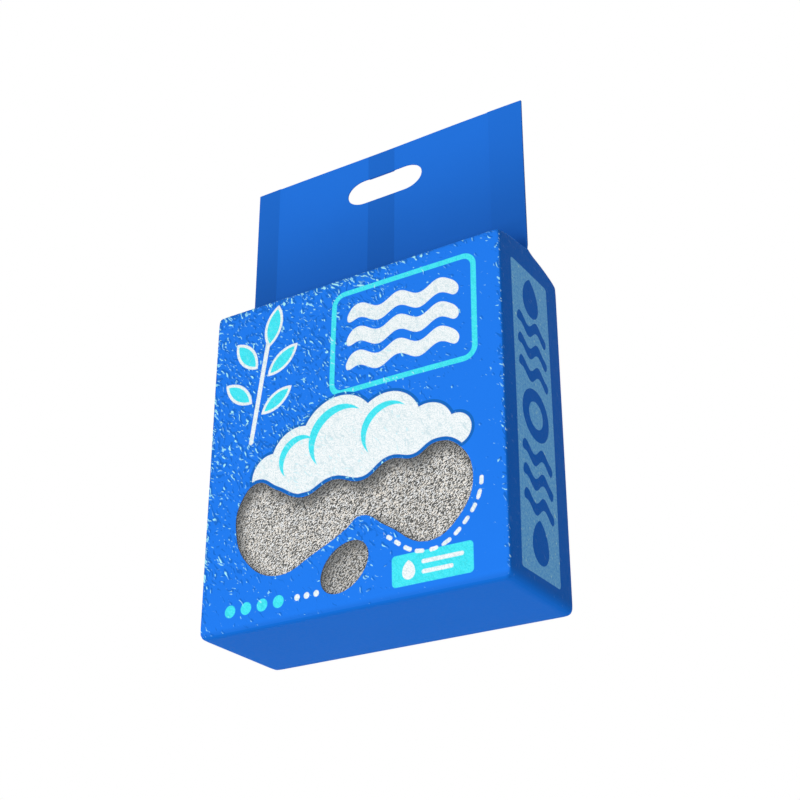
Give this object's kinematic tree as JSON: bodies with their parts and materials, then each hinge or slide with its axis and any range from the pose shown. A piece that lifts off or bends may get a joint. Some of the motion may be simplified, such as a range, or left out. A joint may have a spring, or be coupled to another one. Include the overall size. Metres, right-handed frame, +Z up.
{
  "type": "cat litter bag",
  "caption": "Filled film bag shaped as an upright brick, with a low gable, a flat carrying sheet with a hand hole and clear windows onto grey litter.",
  "frame": {"origin": "on the ground, at the middle of the bag's width and depth", "axes": "+Z up through the carrying sheet, -Y out of the front panel with the windows, +X to the right of the front"},
  "size_m": [0.2524, 0.0962, 0.404],
  "materials": {
    "printed_film": "satin printed film",
    "clear_film": "clear glossy film",
    "litter": "matt loose granules"
  },
  "bodies": {
    "root": {"film_bag": "printed_film", "window_film_large": "clear_film", "window_film_small": "clear_film", "litter_fill": "litter"}
  },
  "joints": []
}
